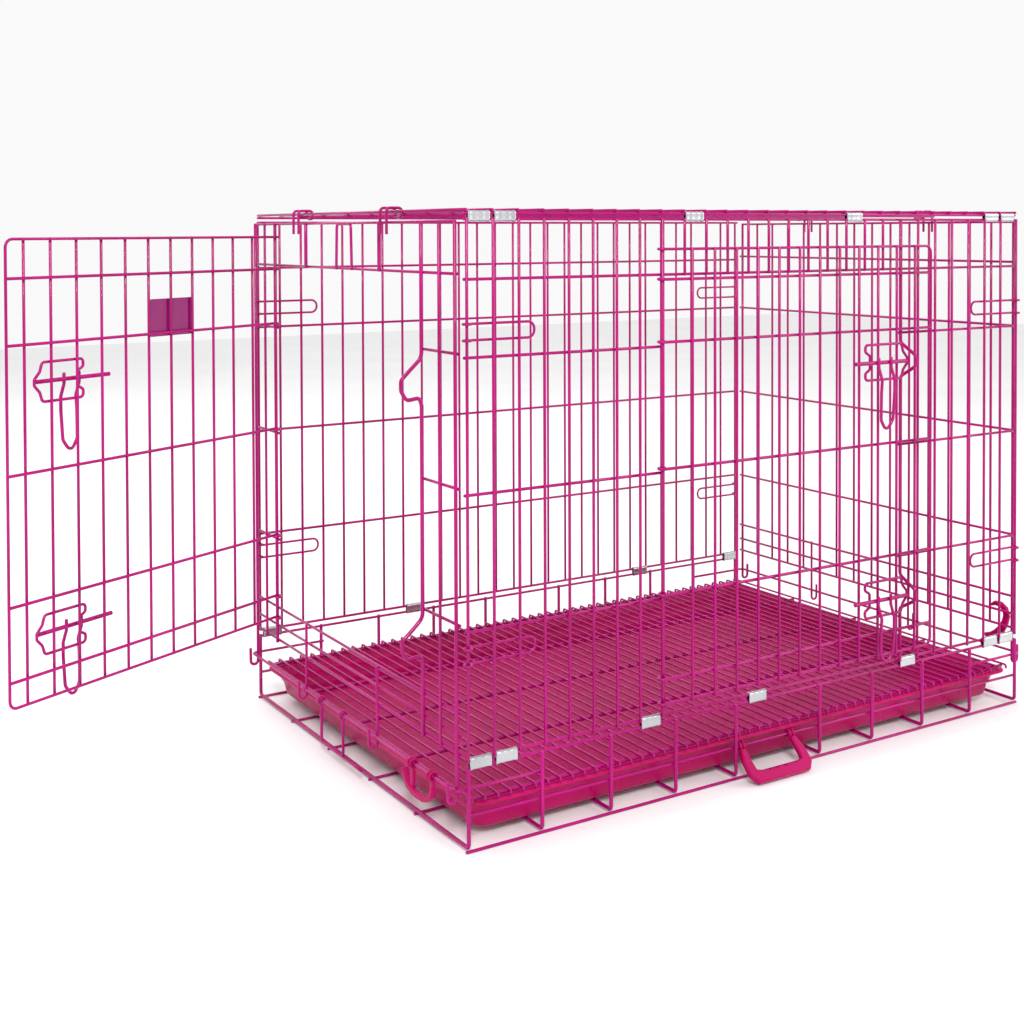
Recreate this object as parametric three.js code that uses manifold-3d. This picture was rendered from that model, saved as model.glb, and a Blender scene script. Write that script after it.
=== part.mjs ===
// Wire dog crate: welded wire panels over a wire base with a pull-out tray. Millimetres, +Z up, +X along the length.
import * as THREE from "three";
import { mergeVertices } from "three/addons/utils/BufferGeometryUtils.js";
import Module from "manifold-3d";

const wasm = await Module();
wasm.setup();

// Main sizes
const LENGTH = 756;
const WIDTH = 504;
const PITCH = 28;
const COLUMNS = 27;
const WIRE = 3.6;
const RAIL = 3.4;
const POST = 4.4;
const INNER = 3.4;
// Heights
const BASE_RAIL_Z = 77;
const FOLD_Z = 84.4;
const TOP_Z = 579;
const ROOF_Z = 584.5;
const RUNNER_Z = 33;
const END_RAIL_Z = 58;
const END_TOP_Z = 576.8;
// End panel planes
const END_OFF = 7;
const END_RAIL_OFF = 11.6;
const END_NEAR = 9.4;
const END_FAR = WIDTH - 9.4;
const LATCH_COLUMN = 74;
const HINGE_COLUMN = 433;
// Doors
const DOOR_WIRE = 3.6;
const JAMB = 3.6;
const SIDE_HINGE_X = 224;
const SIDE_JAMB_X = 560;
const SIDE_EDGE = 380;
const END_EDGE = 373;
const END_DOOR_ANGLE = 63.7;
const BOLT = 5;
const BUMP = 22;

// x measured from the left end of the crate to the part's frame, whose origin is mid-length
const fx = (x) => x - LENGTH / 2;

// --- geometry helpers -----------------------------------------------------------------------------------
function solid(geometry) {
  const bare = geometry.index ? geometry.toNonIndexed() : geometry.clone();
  bare.deleteAttribute("normal");
  bare.deleteAttribute("uv");
  const merged = mergeVertices(bare, 1e-4);
  return new wasm.Manifold(
    new wasm.Mesh({
      numProp: 3,
      vertProperties: merged.attributes.position.array,
      triVerts: new Uint32Array(merged.index.array),
    }),
  );
}

function join(solids) {
  let level = solids;
  while (level.length > 1) {
    const next = [];
    for (let i = 0; i < level.length; i += 2) {
      next.push(i + 1 < level.length ? level[i].add(level[i + 1]) : level[i]);
    }
    level = next;
  }
  return level[0];
}

// A box between two corners.
function box(x0, x1, y0, y1, z0, z1) {
  const g = new THREE.BoxGeometry(x1 - x0, y1 - y0, z1 - z0);
  g.translate((x0 + x1) / 2, (y0 + y1) / 2, (z0 + z1) / 2);
  return solid(g);
}

// Straight square wires along each axis, given by the centre of their section.
const alongX = (x0, x1, y, z, w = RAIL) => box(x0, x1, y - w / 2, y + w / 2, z - w / 2, z + w / 2);
const alongY = (x, y0, y1, z, w = RAIL) => box(x - w / 2, x + w / 2, y0, y1, z - w / 2, z + w / 2);
const alongZ = (x, y, z0, z1, w = WIRE) => box(x - w / 2, x + w / 2, y - w / 2, y + w / 2, z0, z1);

// The outline of a strip of the given width along a path of 2D points.
function stripShape(path, width, closed) {
  const h = width / 2;
  const n = path.length;
  const side = (sign) => {
    const out = [];
    for (let i = 0; i < n; i += 1) {
      const before = path[closed ? (i + n - 1) % n : Math.max(i - 1, 0)];
      const after = path[closed ? (i + 1) % n : Math.min(i + 1, n - 1)];
      const here = path[i];
      const a = new THREE.Vector2(here[0] - before[0], here[1] - before[1]);
      const b = new THREE.Vector2(after[0] - here[0], after[1] - here[1]);
      if (a.length() === 0) a.copy(b);
      if (b.length() === 0) b.copy(a);
      a.normalize();
      b.normalize();
      const na = new THREE.Vector2(-a.y, a.x);
      const nb = new THREE.Vector2(-b.y, b.x);
      const m = na.clone().add(nb).normalize();
      const reach = (sign * h) / m.dot(na);
      out.push(new THREE.Vector2(here[0] + m.x * reach, here[1] + m.y * reach));
    }
    return out;
  };
  if (!closed) {
    return new THREE.Shape([...side(1), ...side(-1).reverse()]);
  }
  const one = side(1);
  const two = side(-1);
  const area = (p) => Math.abs(THREE.ShapeUtils.area(p));
  const outer = area(one) > area(two) ? one : two;
  const inner = outer === one ? two : one;
  const shape = new THREE.Shape(outer);
  shape.holes.push(new THREE.Path(inner));
  return shape;
}

const BASES = {
  xy: [new THREE.Vector3(1, 0, 0), new THREE.Vector3(0, 1, 0), new THREE.Vector3(0, 0, 1)],
  xz: [new THREE.Vector3(1, 0, 0), new THREE.Vector3(0, 0, 1), new THREE.Vector3(0, -1, 0)],
  yz: [new THREE.Vector3(0, 1, 0), new THREE.Vector3(0, 0, 1), new THREE.Vector3(1, 0, 0)],
};

// A flat shape in a plane, extruded evenly about its place on the third axis.
function plate(shape, plane, at, thick) {
  const g = new THREE.ExtrudeGeometry(shape, { depth: thick, bevelEnabled: false, steps: 1 });
  g.translate(0, 0, -thick / 2);
  g.applyMatrix4(new THREE.Matrix4().makeBasis(...BASES[plane]));
  if (plane === "xy") g.translate(0, 0, at);
  if (plane === "xz") g.translate(0, at, 0);
  if (plane === "yz") g.translate(at, 0, 0);
  return solid(g);
}

const bent = (path, plane, at, w, closed = false) => plate(stripShape(path, w, closed), plane, at, w);

// A ring of wire with flat sides about a point in a plane: an eye round a post, rail or bolt.
function eye(u, v, plane, at, hole, w, sides = 4) {
  const r = (hole + w) / 2 / Math.cos(Math.PI / sides);
  const path = [];
  for (let i = 0; i < sides; i += 1) {
    const a = ((i + 0.5) * 2 * Math.PI) / sides;
    path.push([u + r * Math.cos(a), v + r * Math.sin(a)]);
  }
  return bent(path, plane, at, w, true);
}

// A closed rounded rectangle path.
function roundedPath(u0, u1, v0, v1, r, n = 2) {
  const points = [];
  const corners = [[u1 - r, v0 + r, -90], [u1 - r, v1 - r, 0], [u0 + r, v1 - r, 90], [u0 + r, v0 + r, 180]];
  for (const [cu, cv, start] of corners) {
    for (let i = 0; i <= n; i += 1) {
      const a = ((start + (90 * i) / n) * Math.PI) / 180;
      points.push([cu + r * Math.cos(a), cv + r * Math.sin(a)]);
    }
  }
  return points;
}

// --- meshes ---------------------------------------------------------------------------------------------
const crate = new THREE.Group();
crate.name = "wire_dog_crate";

function paint(color, metalness, roughness) {
  return () => new THREE.MeshStandardMaterial({ color, metalness, roughness });
}
const pinkPaint = paint(0xd81a90, 0.1, 0.35);
const steel = paint(0xc8cacc, 0.9, 0.3);
const trayPlastic = paint(0xa5143f, 0, 0.5);
const hotPlastic = paint(0xd72369, 0, 0.4);
const platePaint = paint(0x961469, 0.1, 0.35);

function addMesh(name, body, material) {
  const m = body.getMesh();
  const g = new THREE.BufferGeometry();
  const n = m.numProp;
  const v = new Float32Array(m.numVert * 3);
  for (let i = 0; i < m.numVert; i += 1) v.set(m.vertProperties.subarray(i * n, i * n + 3), i * 3);
  g.setAttribute("position", new THREE.BufferAttribute(v, 3));
  g.setIndex(new THREE.BufferAttribute(m.triVerts, 1));
  g.computeVertexNormals();
  const mesh = new THREE.Mesh(g, material());
  mesh.name = name;
  crate.add(mesh);
}

// --- base -----------------------------------------------------------------------------------------------
const UPRIGHTS = [0, 80, 160, 240, 319, 437, 516, 596, 676, 756];

function baseFrame() {
  const parts = [];
  for (const x of UPRIGHTS) {
    parts.push(alongY(fx(x), -1, WIDTH + 1, POST / 2 + 0.3, POST));
    for (const y of [0, WIDTH]) parts.push(alongZ(fx(x), y, 0.6, BASE_RAIL_Z + 1.2, POST));
  }
  for (let i = 0; i <= 5; i += 1) {
    const y = (WIDTH / 5) * i;
    parts.push(box(fx(0), fx(LENGTH), y - RAIL / 2, y + RAIL / 2, 0, RAIL));
  }
  for (const [y, s] of [[0, 1], [WIDTH, -1]]) {
    parts.push(alongX(fx(-1.8), fx(LENGTH + 1.8), y + s * INNER, BASE_RAIL_Z));
    parts.push(alongX(fx(-1.8), fx(LENGTH + 1.8), y + s * INNER, RUNNER_Z));
  }
  for (const [x, s] of [[0, -1], [LENGTH, 1]]) {
    const out = fx(x) + s * END_RAIL_OFF;
    parts.push(alongY(out, INNER, WIDTH - INNER, END_RAIL_Z));
    for (const y of [INNER, WIDTH - INNER]) {
      const x0 = Math.min(out + (s * RAIL) / 2, fx(x) - s * 80);
      const x1 = Math.max(out + (s * RAIL) / 2, fx(x) - s * 80);
      parts.push(alongX(x0, x1, y, END_RAIL_Z));
    }
  }
  return join(parts);
}

const TRAY_X0 = 3;
const TRAY_X1 = 753;
const TRAY_RIM = 38.8;
const TRAY_LOW = 9.5;
const TRAY_LIP = 9;
const TRAY_LEAN = 9;
const TRAY_WALL = 2;

// Pull-out tray: a flat rim, leaning walls, a flat floor and three ribs that slide on the floor wires.
function tray() {
  const ribs = [122, 252, 382].map((y) => box(fx(40), fx(716), y - 5, y + 5, 5.1, TRAY_LOW + 1));
  const outer = join([
    box(fx(TRAY_X0), fx(TRAY_X1), 3, WIDTH - 3, TRAY_RIM, TRAY_RIM + 1.8),
    traySlab(0),
    ...ribs,
  ]);
  return outer.subtract(traySlab(TRAY_WALL));
}

// The tub as a solid: its walls lean in from rim to floor. Shrunk by one wall thickness it is the hollow.
function traySlab(inset) {
  const edge = TRAY_LIP + inset;
  const top = TRAY_RIM + (inset ? 2.8 : 1);
  const low = TRAY_LOW + inset;
  const x0 = fx(TRAY_X0) + edge;
  const x1 = fx(TRAY_X1) - edge;
  const y0 = 3 + edge;
  const y1 = WIDTH - 3 - edge;
  const s = TRAY_LEAN;
  const p = [
    [x0, y0, top], [x1, y0, top], [x1, y1, top], [x0, y1, top],
    [x0 + s, y0 + s, low], [x1 - s, y0 + s, low], [x1 - s, y1 - s, low], [x0 + s, y1 - s, low],
  ];
  const faces = [
    0, 1, 2, 0, 2, 3, 4, 6, 5, 4, 7, 6, 0, 5, 1, 0, 4, 5,
    1, 6, 2, 1, 5, 6, 2, 7, 3, 2, 6, 7, 3, 4, 0, 3, 7, 4,
  ];
  const g = new THREE.BufferGeometry();
  g.setAttribute("position", new THREE.Float32BufferAttribute(p.flat(), 3));
  g.setIndex(faces);
  return solid(g);
}

// Fine mesh floor: cross wires over long supports.
function floorGrid() {
  const parts = [];
  for (let i = 0; i <= 4; i += 1) {
    const y = 14 + ((WIDTH - 28) / 4) * i;
    parts.push(box(fx(6), fx(750), y - 2, y + 2, 41.2, 45));
  }
  for (let i = 0; i <= 13; i += 1) {
    const x = 7.5 + 57 * i;
    parts.push(box(fx(x) - 1.3, fx(x) + 1.3, 6, WIDTH - 6, 44.6, 47.2));
  }
  return join(parts);
}

// Wire stop hung on the left end rail, in front of the tray's edge.
function trayStop() {
  const x = fx(-END_RAIL_OFF);
  const parts = [];
  for (const y of [244, 299]) {
    parts.push(eye(x, END_RAIL_Z, "xz", y, RAIL + 2, 3.2));
    parts.push(alongZ(x, y, 14, END_RAIL_Z - 3.5, 3.2));
  }
  parts.push(alongY(x, 200, 300.6, 13, 3.2));
  return join(parts);
}

// Carry handle under the front runner, leaning outwards. Its outline is right half, then left half mirrored.
const HANDLE_X = 362;
const HANDLE_LEAN = (42 * Math.PI) / 180;
const HANDLE_THICK = 7;

function carryHandle() {
  const half = [[30, -4.6], [38.5, -4.6], [38.5, -9], [42, -16], [42, -30], [34, -39]];
  const inner = [[6, -25.5], [12, -23.5], [18, -25.5], [26, -22], [29, -12]];
  const outline = [...inner, ...half];
  const mirrored = outline.map(([u, v]) => [-u, v]).reverse();
  const points = [...mirrored, [0, -23.5], ...outline];
  const shape = new THREE.Shape(points.map(([u, v]) => new THREE.Vector2(u, v)));
  const g = new THREE.ExtrudeGeometry(shape, { depth: HANDLE_THICK, bevelEnabled: false, steps: 1 });
  g.translate(0, 0, -HANDLE_THICK / 2);
  g.applyMatrix4(new THREE.Matrix4().makeBasis(...BASES.xz));
  g.applyMatrix4(new THREE.Matrix4().makeRotationX(-HANDLE_LEAN));
  g.translate(fx(HANDLE_X), INNER, RUNNER_Z);
  const parts = [solid(g)];
  for (const u of [-36, -32.5, 32.5, 36]) {
    parts.push(eye(INNER, RUNNER_Z, "yz", fx(HANDLE_X) + u, RAIL + 2, 2.3, 8));
  }
  return join(parts);
}

// Plastic closing claw hanging from the left end rail.
function clawHook() {
  const x = fx(-END_RAIL_OFF);
  const claw = bent([[102, 46], [98, 36], [87, 31], [64, 31], [51, 36], [47, 44]], "yz", x, 6);
  const parts = [claw];
  for (const [y, low] of [[48, 42], [87, 32]]) {
    parts.push(eye(x, END_RAIL_Z, "xz", y, RAIL + 2, 2.8));
    parts.push(box(x - 1.4, x + 1.4, y - 3, y + 3, low, END_RAIL_Z - 2.9));
  }
  return join(parts);
}

// Plastic closing claw standing against the right end panel.
function sHook() {
  const x = fx(LENGTH + END_OFF + 5.6);
  return bent([[50, 69], [36, 71], [27, 81], [21, 96], [24, 106], [33, 111], [44, 108]], "yz", x, 5);
}

// --- panels ---------------------------------------------------------------------------------------------
const LEVELS = [524.1, 452.6, 327.1, 201.5];

function bumpedPost(plane, at, base, out, spans, z0, z1) {
  const path = [[base, z0]];
  for (const [low, high] of spans) {
    path.push([base, low - 5], [base + out, low], [base + out, high], [base, high + 5]);
  }
  path.push([base, z1]);
  return bent(path, plane, at, POST);
}
const SIDE_SPANS = [[149, 176], [409, 437]];
const END_SPANS = [[163, 188], [409, 436]];

function frontPanel() {
  const parts = [];
  for (let i = 0; i <= COLUMNS; i += 1) {
    const x = PITCH * i;
    if (x === SIDE_HINGE_X) parts.push(alongZ(fx(x), 0, FOLD_Z, TOP_Z, JAMB));
    else if (x === SIDE_JAMB_X) parts.push(bumpedPost("yz", fx(x), 0, -BUMP, SIDE_SPANS, FOLD_Z, TOP_Z));
    else if (x > SIDE_HINGE_X && x < SIDE_JAMB_X) parts.push(alongZ(fx(x), 0, LEVELS[0], TOP_Z));
    else parts.push(alongZ(fx(x), 0, FOLD_Z, TOP_Z));
  }
  for (const z of [FOLD_Z, LEVELS[0], TOP_Z]) parts.push(alongX(fx(-1.8), fx(LENGTH + 1.8), INNER, z));
  for (const z of LEVELS.slice(1)) {
    parts.push(alongX(fx(-1.8), fx(SIDE_HINGE_X + 1.8), INNER, z));
    parts.push(alongX(fx(SIDE_JAMB_X - 1.8), fx(LENGTH + 1.8), INNER, z));
  }
  return join(parts);
}

function backPanel() {
  const parts = [];
  const y = WIDTH;
  for (let i = 0; i <= COLUMNS; i += 1) {
    if (i % 2 === 0 || i === COLUMNS) parts.push(alongZ(fx(PITCH * i), y, FOLD_Z, TOP_Z));
  }
  for (const z of [FOLD_Z, ...LEVELS, TOP_Z]) parts.push(alongX(fx(-1.8), fx(LENGTH + 1.8), y - INNER, z));
  return join(parts);
}

const HAIRPINS = [151.5, 368];

function roofPanel() {
  const parts = [];
  for (let i = 0; i <= COLUMNS; i += 1) {
    if (i % 2 === 0 || i === COLUMNS) parts.push(alongY(fx(PITCH * i), 0, WIDTH, ROOF_Z + 3.2));
  }
  for (const y of [INNER, 126, 252, 378, WIDTH - INNER]) {
    parts.push(alongX(fx(-1.8), fx(LENGTH + 1.8), y, ROOF_Z));
  }
  return join(parts);
}

// Hook bent from one wire: two legs come up outside an end panel, over the roof's edge, and close inside.
function hairpin(end, s, y) {
  const out = fx(end) + s * 11.2;
  const inside = fx(end) - s * 6;
  const path = [[out, 565], [out, ROOF_Z + 7.1], [inside, ROOF_Z + 7.1], [inside, 582]];
  const legs = [y - 14, y].map((v) => bent(path, "xz", v, 3));
  return join([...legs, alongY(inside, y - 15.5, y + 1.5, 582, 3)]);
}

function endPanel(left) {
  const s = left ? -1 : 1;
  const end = left ? 0 : LENGTH;
  const x = fx(end) + s * END_OFF;
  const inner = x - s * 3.2;
  const rail = fx(end) + s * END_RAIL_OFF;
  const parts = [];
  const columns = left ? [39.5, 464.5] : Array.from({ length: 7 }, (_, i) => END_NEAR + 60.65 * (i + 1));
  const hooked = [END_NEAR, 172, 349, END_FAR];
  for (const y of columns) parts.push(alongZ(x, y, 89, END_TOP_Z));
  for (const y of hooked) {
    const high = y === END_NEAR || y === END_FAR ? END_TOP_Z : 127;
    const out = rail + s * 4.6;
    parts.push(bent([[x, high], [x, 46], [out, 46], [out, 66]], "xz", y, WIRE));
  }
  for (const z of left ? [89, 106, 127, 529] : [89, 106, 127, ...LEVELS.slice(1), 529]) {
    parts.push(alongY(inner, END_NEAR - 1.8, END_FAR + 1.8, z));
  }
  parts.push(alongY(x, END_NEAR, END_FAR, END_TOP_Z));
  if (left) {
    parts.push(alongZ(x, HINGE_COLUMN, 87.3, END_TOP_Z, JAMB));
    parts.push(bumpedPost("xz", LATCH_COLUMN, x, s * BUMP, END_SPANS, 87.3, END_TOP_Z));
    for (const z of [207.5, 332.5, 456]) {
      parts.push(alongY(inner, END_NEAR - 1.8, LATCH_COLUMN + 2, z));
      parts.push(alongY(inner, HINGE_COLUMN - 2, END_FAR + 1.8, z));
    }
    for (const y of [162.5, 230, 260, 344]) parts.push(alongZ(x, y, 529, END_TOP_Z));
  }
  return join(parts);
}

// --- doors ----------------------------------------------------------------------------------------------
const SIDE_DOOR_LEVELS = [549.5, 519.6, 457.5, 331.6, 206, 122, 97];
const END_DOOR_LEVELS = [561.8, 524.4, 460.8, 337.4, 212.6, 141, 116];

// A door in its own frame: hinge axis at the origin, closed along +X, its outside towards -Y.
function door(levels, first, pitch, edge) {
  const parts = [];
  for (const z of levels) {
    parts.push(eye(0, 0, "xy", z, JAMB + 2.1, 3.2));
    parts.push(alongX(3, edge, -4.2, z, 3.2));
  }
  const low = levels[levels.length - 1];
  for (let d = first; d < edge - 8; d += pitch) parts.push(alongZ(d, -7.2, low - 1.6, levels[0] + 1.6, DOOR_WIRE));
  parts.push(alongZ(edge, -4.2, low - 1.6, levels[0] + 1.6, DOOR_WIRE));
  return join(parts);
}
const BOLT_OUT = -16;

// Guide ring of a latch: a flat wire loop standing off the door's verticals, with two cross ears for the bolt.
function latchRing(u0, u1, z, back) {
  const parts = [bent(roundedPath(u0, u1, z - 18.5, z + 18.5, 8), "xz", back, 3)];
  return join(parts);
}

function bolt(u0, u1, z) {
  return alongX(u0, u1, BOLT_OUT, z, BOLT);
}

// Handle loop hanging from a bolt, on two eyes.
function handleLoop(u, z) {
  const y = BOLT_OUT;
  const parts = [];
  for (const side of [-9, 9]) {
    parts.push(eye(y, z, "yz", u + side, BOLT + 2.6, 2.4, 8));
    parts.push(alongZ(u + side, y, z - 70, z - 4.2, 2.6));
  }
  parts.push(alongX(u - 10.3, u + 10.3, y, z - 70, 2.6));
  return join(parts);
}

function placeSide(body) {
  return body.transform(new THREE.Matrix4().makeTranslation(fx(SIDE_HINGE_X), 0, 0).elements);
}

// The end door hangs on the far jamb of the left end and stands open.
function placeEnd(body) {
  const m = new THREE.Matrix4().makeTranslation(fx(-END_OFF), HINGE_COLUMN, 0);
  m.multiply(new THREE.Matrix4().makeRotationZ(-Math.PI / 2 - (END_DOOR_ANGLE * Math.PI) / 180));
  return body.transform(m.elements);
}

// Blank raised plate held on two door wires.
function namePlate() {
  const path = [[0, 0], [64, 0], [64, 40], [0, 40]];
  const shape = new THREE.Shape(path.map(([u, v]) => new THREE.Vector2(u + 123, v + 457)));
  return plate(shape, "xz", -10.6, 1.6);
}

// --- small wire parts -------------------------------------------------------------------------------------
// Corner loop: a U lying inside a side panel, with an eye round the panel's corner wire at each end.
function cornerLoop(x, y, z, sx, sy) {
  const inY = y + sy * 4;
  const x0 = fx(x) + sx * 2.6;
  const x1 = fx(x) + sx * 75;
  const low = z - 7.5;
  const high = z + 7.5;
  const parts = [bent([[x0, low], [x1 - sx * 6, low], [x1, low + 6], [x1, high - 6], [x1 - sx * 6, high], [x0, high]], "xz", inY, 2.6)];
  for (const v of [low, high]) parts.push(eye(fx(x), y, "xy", v, WIRE + 2, 2.4, 8));
  return join(parts);
}

// Sleeve rolled round two stacked rails.
function sleeve(x, y, z0, z1) {
  const c = 2;
  const outline = (h, a, b, k) => [
    [-h, a + k], [-h + k, a], [h - k, a], [h, a + k], [h, b - k], [h - k, b], [-h + k, b], [-h, b - k],
  ].map(([u, v]) => new THREE.Vector2(u + y, v));
  const shape = new THREE.Shape(outline(3.8, z0 - 3.8, z1 + 3.8, c));
  const hole = [[y - 2.6, z0 - 2.6], [y + 2.6, z0 - 2.6], [y + 2.6, z1 + 2.6], [y - 2.6, z1 + 2.6]];
  shape.holes.push(new THREE.Path(hole.map(([u, v]) => new THREE.Vector2(u, v))));
  return plate(shape, "yz", fx(x), 22);
}
const LOW_SLEEVES = [14, 42, 210, 350, 574, 714, 742];
const TOP_SLEEVES = [14, 42, 266, 490, 714, 742];

// --- assembly ---------------------------------------------------------------------------------------------
addMesh("base_frame", baseFrame(), pinkPaint);
addMesh("tray", tray(), trayPlastic);
addMesh("floor_grid", floorGrid(), pinkPaint);
addMesh("tray_stop", trayStop(), pinkPaint);
addMesh("carry_handle", carryHandle(), hotPlastic);
addMesh("claw_hook", clawHook(), hotPlastic);
addMesh("s_hook", sHook(), hotPlastic);
addMesh("front_panel", frontPanel(), pinkPaint);
addMesh("back_panel", backPanel(), pinkPaint);
addMesh("roof_panel", roofPanel(), pinkPaint);
for (const [side, end, s] of [["left", 0, -1], ["right", LENGTH, 1]]) {
  HAIRPINS.forEach((y, i) => addMesh("hairpin_" + side + "_" + (i + 1), hairpin(end, s, y), pinkPaint));
}
addMesh("left_end_panel", endPanel(true), pinkPaint);
addMesh("right_end_panel", endPanel(false), pinkPaint);

addMesh("side_door", placeSide(door(SIDE_DOOR_LEVELS, 32, 29, SIDE_EDGE)), pinkPaint);
addMesh("end_door", placeEnd(door(END_DOOR_LEVELS, 31, 31.9, END_EDGE)), pinkPaint);
addMesh("name_plate", placeEnd(namePlate()), platePaint);

for (const [level, z] of [["upper", 423], ["lower", 162.5]]) {
  addMesh("side_ring_" + level, placeSide(latchRing(276, 329, z, -10.9)), pinkPaint);
  addMesh("side_bolt_" + level, placeSide(bolt(249, 331, z)), pinkPaint);
  addMesh("side_loop_" + level, placeSide(handleLoop(291, z)), pinkPaint);
}
for (const [level, z] of [["upper", 422.5], ["lower", 175.5]]) {
  addMesh("end_ring_" + level, placeEnd(latchRing(268, 328, z, -10.9)), pinkPaint);
  addMesh("end_bolt_" + level, placeEnd(bolt(237, 332, z)), pinkPaint);
  addMesh("end_loop_" + level, placeEnd(handleLoop(283, z)), pinkPaint);
}

for (const [level, z] of [["upper", 476], ["lower", 180]]) {
  addMesh("loop_front_left_" + level, cornerLoop(0, 0, z, 1, 1), pinkPaint);
  addMesh("loop_front_right_" + level, cornerLoop(LENGTH, 0, z, -1, 1), pinkPaint);
  addMesh("loop_back_left_" + level, cornerLoop(0, WIDTH, z, 1, -1), pinkPaint);
  addMesh("loop_back_right_" + level, cornerLoop(LENGTH, WIDTH, z, -1, -1), pinkPaint);
}

LOW_SLEEVES.forEach((x, i) => {
  addMesh("sleeve_front_low_" + (i + 1), sleeve(x, INNER, BASE_RAIL_Z, FOLD_Z), steel);
});
[14, 210, 574, 742].forEach((x, i) => {
  addMesh("sleeve_back_low_" + (i + 1), sleeve(x, WIDTH - INNER, BASE_RAIL_Z, FOLD_Z), steel);
});
TOP_SLEEVES.forEach((x, i) => {
  addMesh("sleeve_top_" + (i + 1), sleeve(x, INNER, TOP_Z, ROOF_Z), steel);
});

export default crate;
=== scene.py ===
"""Wire dog crate: the final looks.

Round welded wires, rolled sleeves, the tray and the plastic parts stand for the CAD nodes.
"""

import math

import bmesh
import bpy
from mathutils import Matrix, Vector


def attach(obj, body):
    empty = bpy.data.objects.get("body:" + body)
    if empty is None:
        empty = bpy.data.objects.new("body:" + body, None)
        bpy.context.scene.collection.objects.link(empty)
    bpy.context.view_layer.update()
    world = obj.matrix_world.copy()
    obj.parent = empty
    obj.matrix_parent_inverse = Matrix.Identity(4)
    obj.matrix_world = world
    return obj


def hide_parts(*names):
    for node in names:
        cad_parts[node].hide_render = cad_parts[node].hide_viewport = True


MM = 0.001

# Sizes of the crate in millimetres. x runs from the left end, and the frame's origin is at mid-length.
LENGTH = 756.0
WIDTH = 504.0
PITCH = 28.0
COLUMNS = 27

# Radii of the wires.
WIRE_R = 1.5
RAIL_R = 1.5
POST_R = 1.95
DOOR_RAIL_R = 1.6
SMALL_R = 1.3
BOLT_R = 2.2

# Heights of the base and of the long panels. INNER is how far their rails lie inside the uprights.
INNER = 3.3
BASE_WIRE_Z = 4.6
RUNNER_Z = 33.0
END_RAIL_Z = 58.0
BASE_RAIL_Z = 77.0
BASE_TOP_Z = 78.2
FOLD_Z = 84.4
TOP_Z = 579.0
ROOF_Z = 584.5
LEVELS = [524.1, 452.6, 327.1, 201.5]
UPRIGHTS = [0, 80, 160, 240, 319, 437, 516, 596, 676, 756]

# End panels: how far outside the base the panel and its rail stand, its outer columns and its rails.
END_OFF = 7.0
END_RAIL_OFF = 11.6
END_NEAR = 9.4
END_FAR = WIDTH - END_NEAR
END_LOW_LEVELS = [89, 106, 127]
END_LINTEL_Z = 529
END_TOP_Z = 576.8

# Doorways and doors. u runs along a door from its hinge, and y is below zero outside the crate.
LATCH_COLUMN = 74.0
HINGE_COLUMN = 433.0
SIDE_HINGE_X = 224.0
SIDE_JAMB_X = 560.0
SIDE_EDGE = 380.0
END_EDGE = 373.0
END_DOOR_ANGLE = 63.7
EYE_R = 4.2
DOOR_COLUMN_Y = -7.3
DOOR_FACE_Y = -10.6
BOLT_OUT = -16.0
BUMP = 22.0
SIDE_DOOR_LEVELS = [549.5, 519.6, 457.5, 331.6, 206.0, 122.0, 97.0]
END_DOOR_LEVELS = [561.8, 524.4, 460.8, 337.4, 212.6, 141.0, 116.0]

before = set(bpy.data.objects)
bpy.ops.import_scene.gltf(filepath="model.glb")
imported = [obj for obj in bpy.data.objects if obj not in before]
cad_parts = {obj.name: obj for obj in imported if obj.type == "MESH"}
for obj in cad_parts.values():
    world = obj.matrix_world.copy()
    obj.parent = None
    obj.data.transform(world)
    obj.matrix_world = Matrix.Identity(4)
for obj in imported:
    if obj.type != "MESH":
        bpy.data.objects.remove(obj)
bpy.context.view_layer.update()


def fx(x):
    """From the left end to the frame's x."""
    return x - LENGTH / 2


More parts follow.
